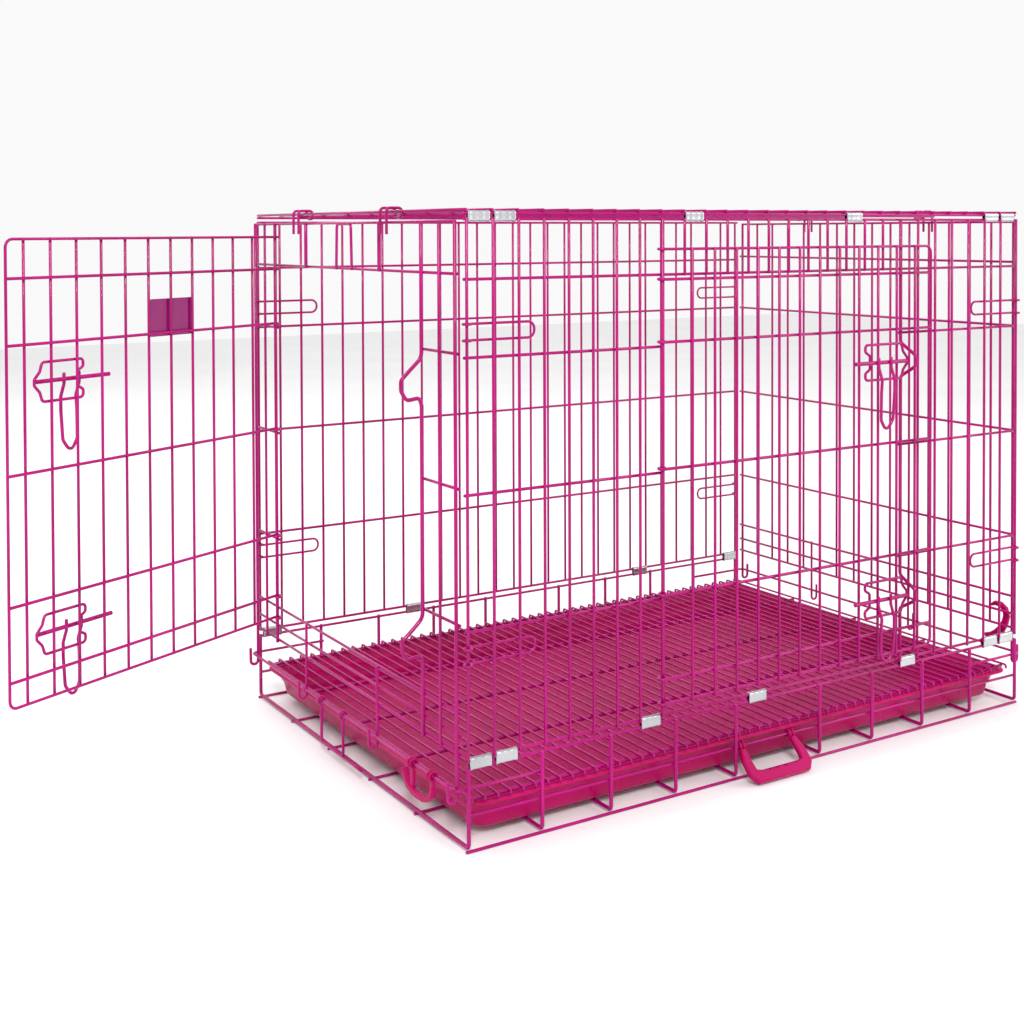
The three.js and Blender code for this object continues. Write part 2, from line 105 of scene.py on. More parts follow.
# --- mesh building ---------------------------------------------------------------------------------------
class Wires:
    """Collects tubes and other shapes in millimetres, and makes one object of them."""

    def __init__(self):
        self.verts = []
        self.faces = []

    def ring(self, centre, u, v, radius, sides):
        start = len(self.verts)
        for i in range(sides):
            a = 2 * math.pi * i / sides
            self.verts.append(centre + u * (radius * math.cos(a)) + v * (radius * math.sin(a)))
        return start

    def skin(self, a, b, sides):
        for i in range(sides):
            j = (i + 1) % sides
            self.faces.append((a + i, a + j, b + j, b + i))

    def tube(self, path, radius, sides=10, closed=False):
        """A round wire along a path, with softly rounded ends unless it closes on itself."""
        points = [Vector(p) for p in path]
        n = len(points)
        dirs = []
        for i in range(n if closed else n - 1):
            dirs.append((points[(i + 1) % n] - points[i]).normalized())
        tangents, scales = [], []
        for i in range(n):
            before = dirs[i - 1] if closed or i > 0 else dirs[0]
            after = dirs[i] if closed or i < n - 1 else dirs[-1]
            t = before + after
            t = t.normalized() if t.length > 1e-6 else after
            tangents.append(t)
            scales.append(before.dot(t))
        first = tangents[0]
        helper = Vector((0, 0, 1)) if abs(first.z) < 0.9 else Vector((1, 0, 0))
        u = first.cross(helper).normalized()
        rings = []
        if not closed:
            v = first.cross(u)
            rings.append(self.ring(points[0], u, v, radius * 0.72, sides))
            points[0] = points[0] + first * min(0.35 * radius, (points[1] - points[0]).length * 0.3)
        last_t = first
        for i in range(n):
            t = tangents[i]
            u = (last_t.rotation_difference(t) @ u).normalized()
            u = (u - t * u.dot(t)).normalized()
            v = t.cross(u)
            last_t = t
            centre = points[i]
            if not closed and i == n - 1:
                centre = centre - t * min(0.35 * radius, (points[i] - points[i - 1]).length * 0.3)
            rings.append(self.ring(centre, u, v, radius, sides))
        if not closed:
            rings.append(self.ring(points[-1], u, v, radius * 0.72, sides))
        for a, b in zip(rings, rings[1:]):
            self.skin(a, b, sides)
        if closed:
            self.close_seam(rings[-1], rings[0], sides)
        else:
            self.faces.append(tuple(rings[0] + i for i in reversed(range(sides))))
            self.faces.append(tuple(rings[-1] + i for i in range(sides)))

    def close_seam(self, a, b, sides):
        shift = min(range(sides), key=lambda k: (self.verts[a] - self.verts[b + k]).length)
        for i in range(sides):
            j = (i + 1) % sides
            self.faces.append((a + i, a + j, b + (j + shift) % sides, b + (i + shift) % sides))

    def slab(self, outline, put, thick, bevel):
        """A plate of this thickness with bevelled edges. put(u, v, depth) places a point of the outline."""
        n = len(outline)
        pts = [Vector(q) for q in outline]
        area = sum(pts[i].x * pts[(i + 1) % n].y - pts[(i + 1) % n].x * pts[i].y for i in range(n))
        inward = []
        for i in range(n):
            a = (pts[i] - pts[i - 1]).normalized()
            b = (pts[(i + 1) % n] - pts[i]).normalized()
            t = (a + b).normalized()
            inward.append(Vector((-t.y, t.x)) * (1 if area > 0 else -1))
        rings = []
        face, edge = thick / 2, thick / 2 - bevel
        for inset, depth in ((bevel, -face), (0, -edge), (0, edge), (bevel, face)):
            rings.append(len(self.verts))
            self.verts += [Vector(put(*(q + k * inset), depth)) for q, k in zip(pts, inward)]
        for a, b in zip(rings, rings[1:]):
            self.skin(a, b, n)
        self.faces.append(tuple(rings[0] + i for i in reversed(range(n))))
        self.faces.append(tuple(rings[-1] + i for i in range(n)))

    def x(self, x0, x1, y, z, r=RAIL_R, sides=10):
        self.tube([(x0, y, z), (x1, y, z)], r, sides)

    def y(self, x, y0, y1, z, r=RAIL_R, sides=10):
        self.tube([(x, y0, z), (x, y1, z)], r, sides)

    def z(self, x, y, z0, z1, r=WIRE_R, sides=10):
        self.tube([(x, y, z0), (x, y, z1)], r, sides)

    def build(self, name, material, body, nodes, place=None, sharp=50):
        mesh = bpy.data.meshes.new(name)
        matrix = place or Matrix.Identity(4)
        mesh.from_pydata([(matrix @ v) * MM for v in self.verts], [], self.faces)
        mesh.validate()
        shape = bmesh.new()
        shape.from_mesh(mesh)
        bmesh.ops.recalc_face_normals(shape, faces=shape.faces)
        shape.to_mesh(mesh)
        shape.free()
        for p in mesh.polygons:
            p.use_smooth = True
        mesh.set_sharp_from_angle(angle=math.radians(sharp))
        obj = bpy.data.objects.new(name, mesh)
        bpy.context.collection.objects.link(obj)
        mesh.materials.append(material)
        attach(obj, body)
        if nodes:
            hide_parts(*nodes)
        return obj


def rounded(points, radius, closed=False, steps=5):
    """The path with each inner corner turned into an arc of about this radius."""
    pts = [Vector(p) for p in points]
    n = len(pts)
    out = []
    for i, p in enumerate(pts):
        if not closed and i in (0, n - 1):
            out.append(p)
            continue
        r = radius[i] if isinstance(radius, (list, tuple)) else radius
        a = pts[i - 1] - p
        b = pts[(i + 1) % n] - p
        la, lb = a.length, b.length
        a.normalize()
        b.normalize()
        half = a.angle(b) / 2
        if r <= 0 or half > math.pi / 2 - 0.02:
            out.append(p)
            continue
        cut = min(r / math.tan(half), la * 0.48, lb * 0.48)
        r = cut * math.tan(half)
        centre = p + (a + b).normalized() * (r / math.sin(half))
        start, end = p + a * cut - centre, p + b * cut - centre
        turn = start.angle(end)
        for k in range(steps + 1):
            t = k / steps
            w0 = math.sin((1 - t) * turn) / math.sin(turn)
            w1 = math.sin(t * turn) / math.sin(turn)
            out.append(centre + start * w0 + end * w1)
    return out


# --- materials -------------------------------------------------------------------------------------------
def node_material(name):
    m = bpy.data.materials.new(name)
    m.use_nodes = True
    tree = m.node_tree
    return m, tree, tree.nodes["Principled BSDF"]


def noise(tree, scale, detail=4.0, rough=0.55):
    coord = tree.nodes.new("ShaderNodeTexCoord")
    tex = tree.nodes.new("ShaderNodeTexNoise")
    tex.inputs["Scale"].default_value = scale
    tex.inputs["Detail"].default_value = detail
    tex.inputs["Roughness"].default_value = rough
    tree.links.new(coord.outputs["Object"], tex.inputs["Vector"])
    return tex


def ramp(tree, source, low, high):
    """A blend between two stops, each a position and a colour."""
    node = tree.nodes.new("ShaderNodeValToRGB")
    for element, (position, colour) in zip(node.color_ramp.elements, (low, high)):
        element.position = position
        element.color = colour
    tree.links.new(source, node.inputs["Fac"])
    return node


def bump(tree, source, strength, distance, shader):
    node = tree.nodes.new("ShaderNodeBump")
    node.inputs["Strength"].default_value = strength
    node.inputs["Distance"].default_value = distance
    tree.links.new(source, node.inputs["Height"])
    tree.links.new(node.outputs["Normal"], shader.inputs["Normal"])


def coat_material(name, dark, light, rough, peel=520.0, metallic=0.0):
    """Painted or moulded surface: slight colour drift, orange peel and uneven gloss."""
    m, tree, shader = node_material(name)
    drift = noise(tree, 9.0, 3.0)
    colour = ramp(tree, drift.outputs["Fac"], (0.3, (*dark, 1)), (0.7, (*light, 1)))
    tree.links.new(colour.outputs["Color"], shader.inputs["Base Color"])
    gloss = noise(tree, 60.0, 3.0)
    smooth = (rough * 0.8,) * 3 + (1,)
    matt = (rough * 1.25,) * 3 + (1,)
    levels = ramp(tree, gloss.outputs["Fac"], (0.25, smooth), (0.75, matt))
    tree.links.new(levels.outputs["Color"], shader.inputs["Roughness"])
    peel_tex = noise(tree, peel, 2.0)
    bump(tree, peel_tex.outputs["Fac"], 0.12, 0.0002, shader)
    shader.inputs["Metallic"].default_value = metallic
    return m, shader


pink_wire, wire_shader = coat_material(
    "pink_powder_coat", (0.265, 0.0004, 0.091), (0.401, 0.001, 0.161), 0.22)
wire_shader.inputs["Specular IOR Level"].default_value = 0.12
wire_shader.inputs["Coat Weight"].default_value = 0.24
wire_shader.inputs["Coat Roughness"].default_value = 0.05
zinc, _ = coat_material("zinc_sheet", (0.36, 0.37, 0.39), (0.66, 0.67, 0.69), 0.3, 700.0, 1.0)
tray_material, tray_shader = coat_material(
    "crimson_tray_plastic", (0.33, 0.0008, 0.068), (0.46, 0.0015, 0.115), 0.3, 300.0)
tray_shader.inputs["Specular IOR Level"].default_value = 0.12
plastic, plastic_shader = coat_material(
    "hot_pink_plastic", (0.33, 0.0006, 0.075), (0.40, 0.0012, 0.10), 0.36, 260.0)
plastic_shader.inputs["Specular IOR Level"].default_value = 0.12
plastic_shader.inputs["Subsurface Weight"].default_value = 0.15
plastic_shader.inputs["Subsurface Scale"].default_value = 0.004
plate_paint, plate_shader = coat_material("plate_paint", (0.20, 0.001, 0.10), (0.27, 0.002, 0.14), 0.22)
plate_shader.inputs["Coat Weight"].default_value = 0.3

# --- base ------------------------------------------------------------------------------------------------
FLOOR_RAILS = 6
END_RAIL_RETURN = 82


def base_frame():
    """U wires side by side, the rails that join them, and a rail round each end."""
    w = Wires()
    for x in UPRIGHTS:
        corners = [(0, BASE_TOP_Z), (0, BASE_WIRE_Z), (WIDTH, BASE_WIRE_Z), (WIDTH, BASE_TOP_Z)]
        w.tube(rounded([(fx(x), y, z) for y, z in corners], 4.0, steps=4), POST_R, 12)
    for i in range(FLOOR_RAILS):
        w.x(fx(-3), fx(LENGTH + 3), WIDTH / (FLOOR_RAILS - 1) * i, RAIL_R)
    for y, s in ((0, 1), (WIDTH, -1)):
        w.x(fx(-2), fx(LENGTH + 2), y + s * INNER, BASE_RAIL_Z, RAIL_R, 12)
        w.x(fx(-2), fx(LENGTH + 2), y + s * INNER, RUNNER_Z)
    for x, s in ((0, -1), (LENGTH, 1)):
        out = fx(x) + s * END_RAIL_OFF
        far = fx(x) - s * END_RAIL_RETURN
        corners = [(far, INNER), (out, INNER), (out, WIDTH - INNER), (far, WIDTH - INNER)]
        w.tube(rounded([(u, v, END_RAIL_Z) for u, v in corners], 6.0), RAIL_R, 12)
    return w.build("base_frame_wires", pink_wire, "base", ["base_frame"])


base_frame()


def loop_points(x0, x1, y0, y1, z, r, n=6):
    """A rectangle with rounded corners, at height z."""
    points = []
    left, right, near, far = x0 + r, x1 - r, y0 + r, y1 - r
    for cx, cy, start in ((right, near, -90), (right, far, 0), (left, far, 90), (left, near, 180)):
        for i in range(n + 1):
            a = math.radians(start + 90 * i / n)
            points.append(Vector((cx + r * math.cos(a), cy + r * math.sin(a), z)))
    return points


TRAY_GAP = 3
TRAY_RIBS_Y = (122, 252, 382)
RIB_END = 40
RIB_HALF = 5
RIB_Z = 7.55


def tray():
    w = Wires()
    # Inset from the rim's outer edge, and height: round the lip, down the inner wall, over the ridge.
    profile = [
        (8.0, 38.9), (0.9, 38.9), (0.2, 39.2), (0.2, 40.1), (0.8, 40.6), (9.6, 40.6), (11.0, 40.0),
        (12.0, 38.6), (14.8, 28.0), (15.4, 27.4), (16.6, 27.0), (19.2, 14.4), (21.0, 12.4), (25.0, 11.6),
        (52.0, 11.6), (54.0, 12.6), (60.0, 12.6), (62.0, 11.6),
    ]
    # Under the floor and up the outer wall.
    under = [
        (62.0, 9.6), (22.0, 9.6), (18.6, 10.2), (17.0, 12.2), (14.0, 26.0), (12.8, 26.6), (12.4, 27.2),
        (9.4, 37.8),
    ]
    rings = []
    for inset, z in profile + under:
        edge = TRAY_GAP + inset
        rings.append(len(w.verts))
        w.verts += loop_points(fx(edge), fx(LENGTH - edge), edge, WIDTH - edge, z, max(20 - inset * 0.25, 6))
    count = len(w.verts) // len(rings)
    inside, outside = rings[:len(profile)], rings[len(profile):]
    for strip in (inside, outside):
        for a, b in zip(strip, strip[1:]):
            w.skin(b, a, count)
    w.skin(inside[0], outside[-1], count)
    w.faces.append(tuple(inside[-1] + i for i in range(count)))
    w.faces.append(tuple(outside[0] + i for i in reversed(range(count))))
    x0, x1 = fx(RIB_END), fx(LENGTH - RIB_END)
    for y in TRAY_RIBS_Y:
        corners = [(x0, y - RIB_HALF), (x1, y - RIB_HALF), (x1, y + RIB_HALF), (x0, y + RIB_HALF)]
        w.slab(rounded(corners, 4.8, closed=True), lambda u, v, d: (u, v, RIB_Z + d), 4.9, 1.0)
    return w.build("tray_shell", tray_material, "tray", ["tray"], sharp=40)


tray()


FLOOR_STAYS = 5
FLOOR_WIRES = 54


def floor_grid():
    """Cross wires with turned-down ends, on a few wires that run the length of the crate."""
    w = Wires()
    for i in range(FLOOR_STAYS):
        w.x(fx(6.2), fx(LENGTH - 6.2), 14 + (WIDTH - 28) / (FLOOR_STAYS - 1) * i, 43.1, 1.9)
    for i in range(FLOOR_WIRES):
        x = fx(7.5 + (LENGTH - 15) / (FLOOR_WIRES - 1) * i)
        path = [(x, 6.4, 41.6), (x, 6.4, 45.9), (x, WIDTH - 6.4, 45.9), (x, WIDTH - 6.4, 41.6)]
        w.tube(rounded(path, 2.4, steps=3), SMALL_R, 8)
    return w.build("floor_mesh_wires", pink_wire, "floor_grid", ["floor_grid"])


floor_grid()


def arc(cu, cv, r, a0, a1, n, make):
    """Points round a centre from one angle to another, in degrees. make(u, v) places each of them."""
    points = []
    for i in range(n + 1):
        a = math.radians(a0 + (a1 - a0) * i / n)
        points.append(make(cu + r * math.cos(a), cv + r * math.sin(a)))
    return points


def tray_stop():
    """A U of wire that hangs from the left end rail, across the tray's way out, with a foot to one side."""
    w = Wires()
    x = fx(-END_RAIL_OFF)
    near, far, foot = 244.0, 299.0, 13
    curl, r = 3.6, 1.6
    for y in (near, far):
        w.tube(arc(x, END_RAIL_Z, curl, -60, 250, 16, lambda u, v, y=y: (u, y, v)), r)
    path = [(x, near, END_RAIL_Z - curl), (x, near, foot), (x, far, foot), (x, far, END_RAIL_Z - curl)]
    w.tube(rounded(path, 5), r)
    w.y(x, 200, near + 2, foot, r)
    return w.build("tray_stop_wire", pink_wire, "tray_stop", ["tray_stop"])


tray_stop()


# --- panels ----------------------------------------------------------------------------------------------
# Heights between which each jamb's two catches stand out.
SIDE_SPANS = ((149, 176), (409, 437))
END_SPANS = ((163, 188), (409, 436))


def bumped(base, out, spans, z0, z1, hooked):
    """A post with catches bent out of it. A hooked catch slopes out gently and turns back sharply below."""
    path = [(base, z0)]
    radii = [0]
    for low, high in spans:
        mid = (low + high) / 2
        if hooked:
            path += [(base, low - 7), (base + out * 0.1, low + 1)]
            path += [(base + out * 0.75, low - 1), (base + out, mid - 5)]
            path += [(base + out, mid + 5), (base + out * 0.6, high), (base, high + 12)]
            radii += [4.0, 4.0, 6.0, 8.0, 6.0, 9.0, 12.0]
        else:
            path += [(base, low - 5), (base + out, mid - 6), (base + out, mid + 6), (base, high + 5)]
            radii += [6.0, 6.0, 6.0, 6.0]
    path.append((base, z1))
    radii.append(0)
    return path, radii


def front_panel():
    """The front grille, with the side door's doorway and its latch jamb."""
    w = Wires()
    low = FOLD_Z - 1.4
    for i in range(COLUMNS + 1):
        x = PITCH * i
        if x == SIDE_JAMB_X:
            path, radii = bumped(0, -BUMP, SIDE_SPANS, low, TOP_Z + 1, False)
            w.tube(rounded([(fx(x), v, z) for v, z in path], radii), POST_R, 12)
        elif x == SIDE_HINGE_X:
            w.z(fx(x), 0, low, TOP_Z + 1, POST_R, 12)
        elif SIDE_HINGE_X < x < SIDE_JAMB_X:
            w.z(fx(x), 0, LEVELS[0] - 1.4, TOP_Z + 1)
        else:
            w.z(fx(x), 0, low, TOP_Z + 1)
    for z in (FOLD_Z, LEVELS[0], TOP_Z):
        w.x(fx(-2), fx(LENGTH + 2), INNER, z)
    for z in LEVELS[1:]:
        w.x(fx(-2), fx(SIDE_HINGE_X + 2), INNER, z)
        w.x(fx(SIDE_JAMB_X - 2), fx(LENGTH + 2), INNER, z)
    return w.build("front_panel_wires", pink_wire, "front_panel", ["front_panel"])


def back_panel():
    w = Wires()
    for i in range(COLUMNS + 1):
        w.z(fx(PITCH * i), WIDTH, FOLD_Z - 1.4, TOP_Z + 1)
    for z in (FOLD_Z, *LEVELS, TOP_Z):
        w.x(fx(-2), fx(LENGTH + 2), WIDTH - INNER, z)
    return w.build("back_panel_wires", pink_wire, "back_panel", ["back_panel"])


def roof_panel():
    w = Wires()
    for i in range(COLUMNS + 1):
        w.y(fx(PITCH * i), 0.4, WIDTH - 0.4, ROOF_Z + 3.1, WIRE_R)
    for y in (INNER, 126, 252, 378, WIDTH - INNER):
        w.x(fx(-2), fx(LENGTH + 2), y, ROOF_Z)
    return w.build("roof_panel_wires", pink_wire, "roof_panel", ["roof_panel"])


HAIRPIN_FOOT_Z = 565
HAIRPIN_INNER_Z = 582
HAIRPIN_GAP = 14


def hairpin(name, end, s, y):
    """A bent wire that hooks the roof over the top rail of an end panel."""
    w = Wires()
    out = fx(end) + s * 11.2
    inside = fx(end) - s * 6
    top = ROOF_Z + 6.6
    leg = [(out, HAIRPIN_FOOT_Z), (out, top), (inside, top), (inside, HAIRPIN_INNER_Z)]
    path = [(x, y, z) for x, z in leg] + [(x, y - HAIRPIN_GAP, z) for x, z in reversed(leg)]
    w.tube(rounded(path, [0, 4, 4, 4, 4, 4, 4, 0], steps=4), 1.5)
    return w.build(name + "_wire", pink_wire, "roof_panel", [name])


def end_doorway(w, x, inner, top):
    """The hinge post, the latch post with its catches, and the short wires beside and above the doorway."""
    w.z(x, HINGE_COLUMN, 87, top, POST_R, 12)
    path, radii = bumped(x, -BUMP, END_SPANS, 87, top, True)
    w.tube(rounded([(v, LATCH_COLUMN, z) for v, z in path], radii), POST_R, 12)
    for z in (207.5, 332.5, 456):
        w.y(inner, END_NEAR - 2, LATCH_COLUMN + 2.4, z)
        w.y(inner, HINGE_COLUMN - 2.4, END_FAR + 2, z)
    low = END_LINTEL_Z - 1.4
    for y in (162.5, 344.0):
        w.z(x, y, low, top, POST_R)
    y0, y1 = 228, 262
    bridge = [(x, y0 - 2, low), (x, y0, END_TOP_Z - 1), (x, y1, END_TOP_Z - 1), (x, y1 + 2, low)]
    w.tube(rounded(bridge, 4), WIRE_R)


def end_panel(left):
    """An end grille, hung on the base's end rail by hooks. The left one holds the end doorway."""
    w = Wires()
    s = -1 if left else 1
    end = 0 if left else LENGTH
    x = fx(end) + s * END_OFF
    inner = x - s * 3.2
    rail = fx(end) + s * END_RAIL_OFF
    top = END_TOP_Z + 1
    if left:
        columns = [39.5, 464.5]
    else:
        columns = [END_NEAR + (END_FAR - END_NEAR) / 15 * i for i in range(1, 15)]
    for y in columns:
        w.z(x, y, 87.6, top)
    for y in (END_NEAR, 172, 349, END_FAR):
        post = y in (END_NEAR, END_FAR)
        high = top if post else 128.4
        hook = [(x, y, high), (x, y, 46), (rail + s * 4.6, y, 46), (rail + s * 4.9, y, 66)]
        w.tube(rounded(hook, [0, 4.4, 4.4, 0]), POST_R - 0.2 if post else WIRE_R, 12)
    middle = [] if left else LEVELS[1:]
    for z in END_LOW_LEVELS + middle + [END_LINTEL_Z]:
        w.y(inner, END_NEAR - 2, END_FAR + 2, z)
    w.y(x, END_NEAR - 1.6, END_FAR + 1.6, END_TOP_Z)
    if left:
        end_doorway(w, x, inner, top)
    name = "left_end_panel" if left else "right_end_panel"
    return w.build(name + "_wires", pink_wire, "left_end" if left else "right_end", [name])


front_panel()
back_panel()
roof_panel()
for side, end, s in (("left", 0, -1), ("right", LENGTH, 1)):
    for i, y in enumerate((151.5, 368)):
        hairpin("hairpin_%s_%d" % (side, i + 1), end, s, y)
end_panel(True)
end_panel(False)

# --- doors -----------------------------------------------------------------------------------------------
SIDE_PLACE = Matrix.Translation((fx(SIDE_HINGE_X), 0, 0))
END_TURN = Matrix.Rotation(math.radians(-90 - END_DOOR_ANGLE), 4, "Z")
END_PLACE = Matrix.Translation((fx(-END_OFF), HINGE_COLUMN, 0)) @ END_TURN


def door(name, body, levels, first, pitch, edge, place):
    """A frame wire and cross wires, all curled round the hinge post, with columns on their outer side."""
    w = Wires()
    top, low = levels[0], levels[-1]
    for z in levels[1:-1]:
        curl = arc(0, 0, EYE_R, -90, -350, 18, lambda u, v, z=z: (u, v, z))
        w.tube([(edge, -EYE_R, z)] + curl, DOOR_RAIL_R)
    curl_top = arc(0, 0, EYE_R, -350, -90, 18, lambda u, v: (u, v, top))
    curl_low = arc(0, 0, EYE_R, -90, -350, 18, lambda u, v: (u, v, low))
    outline = rounded([curl_top[-1], (edge, -EYE_R, top), (edge, -EYE_R, low), curl_low[0]], 8)
    w.tube(curl_top[:-1] + outline + curl_low[1:], WIRE_R)
    d = first
    while d < edge - 8:
        w.z(d, DOOR_COLUMN_Y, low - 1.5, top + 1.5)
        d += pitch
    return w.build(name + "_wires", pink_wire, body, [name], place)


door("side_door", "side_door", SIDE_DOOR_LEVELS, 32, 29, SIDE_EDGE, SIDE_PLACE)
door("end_door", "end_door", END_DOOR_LEVELS, 31, 31.9, END_EDGE, END_PLACE)


def latch_ring(name, body, u0, reach, z, place):
    """Guide of a latch: a wire loop on the door behind the bolt. One end is waisted, the other pointed."""
    w = Wires()
    y = DOOR_FACE_Y
    tip = u0 + reach
    path = [
        (u0, y, z + 19.3), (tip - 9.5, y, z + 19.3), (tip - 6.5, y, z + 10), (tip, y, z + 3),
        (tip, y, z - 3), (tip - 6.5, y, z - 10), (tip - 9.5, y, z - 19.3), (u0, y, z - 19.3),
        (u0, y, z - 11.5), (u0 + 7, y, z - 7.5), (u0 + 7, y, z + 7.5), (u0, y, z + 11.5),
    ]
    w.tube(rounded(path, [4, 4, 4, 2.5, 2.5, 4, 4, 4, 3, 3, 3, 3], closed=True), 1.5, closed=True)
    return w.build(name + "_wire", pink_wire, body, [name], place)


def bolt(name, u0, u1, z, place):
    w = Wires()
    w.tube([(u, BOLT_OUT, z) for u in (u0, u0 + 1, u1 - 1, u1)], BOLT_R, 14)
    return w.build(name + "_rod", pink_wire, name, [name], place)


def handle_loop(name, u, z, drop, place):
    """A hanging U of wire whose two ends stand in front of the bolt."""
    w = Wires()
    y = BOLT_OUT - BOLT_R - 1.2
    out = y - 5
    half = 9.5
    leg = [
        (half, y, 6), (half, y, -5), (half, out, -18), (half + 0.6, out + 0.6, -32),
        (half - 0.4, out + 2, 13 - drop),
    ]
    path = [(u - across, v, z + up) for across, v, up in leg]
    path.append((u, out + 3, z - drop))
    path += [(u + across, v, z + up) for across, v, up in reversed(leg)]
    radii = [0, 6, 6, 30, 9]
    w.tube(rounded(path, radii + [5] + radii[::-1]), 1.7, 12)
    return w.build(name + "_wire", pink_wire, name, [name], place)


# The side door's lower loop is the shorter, and it clears the base when the front panel is folded out.
for level, z in (("upper", 423), ("lower", 162.5)):
    latch_ring("side_ring_" + level, "side_door", 270, 65, z, SIDE_PLACE)
    bolt("side_bolt_" + level, 249, 331, z, SIDE_PLACE)
    handle_loop("side_loop_" + level, 291, z, 75 if level == "upper" else 70, SIDE_PLACE)
for level, z in (("upper", 422.5), ("lower", 175.5)):
    latch_ring("end_ring_" + level, "end_door", 276, 60, z, END_PLACE)
    bolt("end_bolt_" + level, 237, 332, z, END_PLACE)
    handle_loop("end_loop_" + level, 283, z, 75, END_PLACE)


def name_plate():
    """A thin blank plate with rounded corners and a bevelled face."""
    w = Wires()
    u0, u1, v0, v1 = 123.0, 187.0, 457.0, 497.0
    mid_u, mid_v = (u0 + u1) / 2, (v0 + v1) / 2
    outline = loop_points(u0, u1, v0, v1, 0, 3, 4)
    n = len(outline)
    rings = []
    for inset, depth in ((0.0, 0.8), (0.0, -0.5), (0.5, -0.8)):
        rings.append(len(w.verts))
        shrink_u = 1 - inset / (u1 - mid_u)
        shrink_v = 1 - inset / (v1 - mid_v)
        for p in outline:
            u = mid_u + (p.x - mid_u) * shrink_u
            v = mid_v + (p.y - mid_v) * shrink_v
            w.verts.append(Vector((u, DOOR_FACE_Y + depth, v)))
    w.skin(rings[0], rings[1], n)
    w.skin(rings[1], rings[2], n)
    w.faces.append(tuple(rings[2] + i for i in range(n)))
    w.faces.append(tuple(rings[0] + i for i in reversed(range(n))))
    return w.build("name_plate_sheet", plate_paint, "end_door", ["name_plate"], END_PLACE, 40)


name_plate()


# --- small parts -----------------------------------------------------------------------------------------
def corner_loop(name, x, y, z, sx, sy):
    """A long wire loop, curled round a corner post at both ends, that ties an end panel to a long one."""
    w = Wires()
    r = 3.6
    low, high = z - 7.5, z + 7.5
    a0 = 90 * sy
    a1 = a0 + 300 * sx * sy
    eye_high = arc(fx(x), y, r, a1, a0, 14, lambda u, v: (u, v, high))
    eye_low = arc(fx(x), y, r, a0, a1, 14, lambda u, v: (u, v, low))
    reach = fx(x) + sx * 75
    side = y + sy * r
    bend = rounded([eye_high[-1], (reach, side, high), (reach, side, low), eye_low[0]], 7.3, steps=7)
    w.tube(eye_high[:-1] + bend + eye_low[1:], SMALL_R, 10)
    return w.build(name + "_wire", pink_wire, name, [name])


for level, z in (("upper", 476), ("lower", 180)):
    corner_loop("loop_front_left_" + level, 0, 0, z, 1, 1)
    corner_loop("loop_front_right_" + level, LENGTH, 0, z, -1, 1)
    corner_loop("loop_back_left_" + level, 0, WIDTH, z, 1, -1)
    corner_loop("loop_back_right_" + level, LENGTH, WIDTH, z, -1, -1)


def sleeve(name, body, x, y, z0, z1):
    """Sheet rolled round two rails: an oval tube, nipped between them, with flared ends and two ridges."""
    w = Wires()
    sides = 28
    half, waist = (z1 - z0) / 2 - 0.4, 0.5
    mid = (z0 + z1) / 2

    def section(radius):
        pts = []
        for i in range(sides):
            a = 2 * math.pi * (i + 0.5) / sides
            v = math.sin(a)
            lift = half if v > 0.15 else (-half if v < -0.15 else half * v / 0.15)
            nip = waist * max(0.0, 1 - abs(v) / 0.35)
            pts.append((math.cos(a) * (radius - nip), v * radius + lift))
        return pts

    rings = []
    # Distance from mid-length, and radius, from the inner edge of one end towards the middle.
    half_length = [
        (11.6, 2.1), (11.6, 2.8), (11.1, 3.1), (9.4, 2.95), (8.0, 2.6), (5.2, 2.6), (4.2, 2.9), (2.6, 2.6),
    ]
    for dx, radius in [(-dx, radius) for dx, radius in half_length] + half_length[::-1]:
        rings.append(len(w.verts))
        w.verts += [Vector((fx(x) + dx, y + u, mid + v)) for u, v in section(radius)]
    for a, b in zip(rings, rings[1:] + rings[:1]):
        w.skin(a, b, sides)
    return w.build(name + "_shell", zinc, body, [name], sharp=60)


for i, x in enumerate((14, 42, 210, 350, 574, 714, 742)):
    sleeve("sleeve_front_low_%d" % (i + 1), "base", x, INNER, BASE_RAIL_Z, FOLD_Z)
for i, x in enumerate((14, 210, 574, 742)):
    sleeve("sleeve_back_low_%d" % (i + 1), "base", x, WIDTH - INNER, BASE_RAIL_Z, FOLD_Z)
for i, x in enumerate((14, 42, 266, 490, 714, 742)):
    sleeve("sleeve_top_%d" % (i + 1), "front_panel", x, INNER, TOP_Z, ROOF_Z)

# --- plastic parts ---------------------------------------------------------------------------------------
HANDLE_X = 362.0
HANDLE_LEAN = math.radians(46)
HANDLE_THICK = 7.0


def eye(w, cu, cv, r, make):
    """A moulded ring round a wire."""
    w.tube(arc(cu, cv, r, 0, 360, 20, make)[:-1], SMALL_R, 10, closed=True)


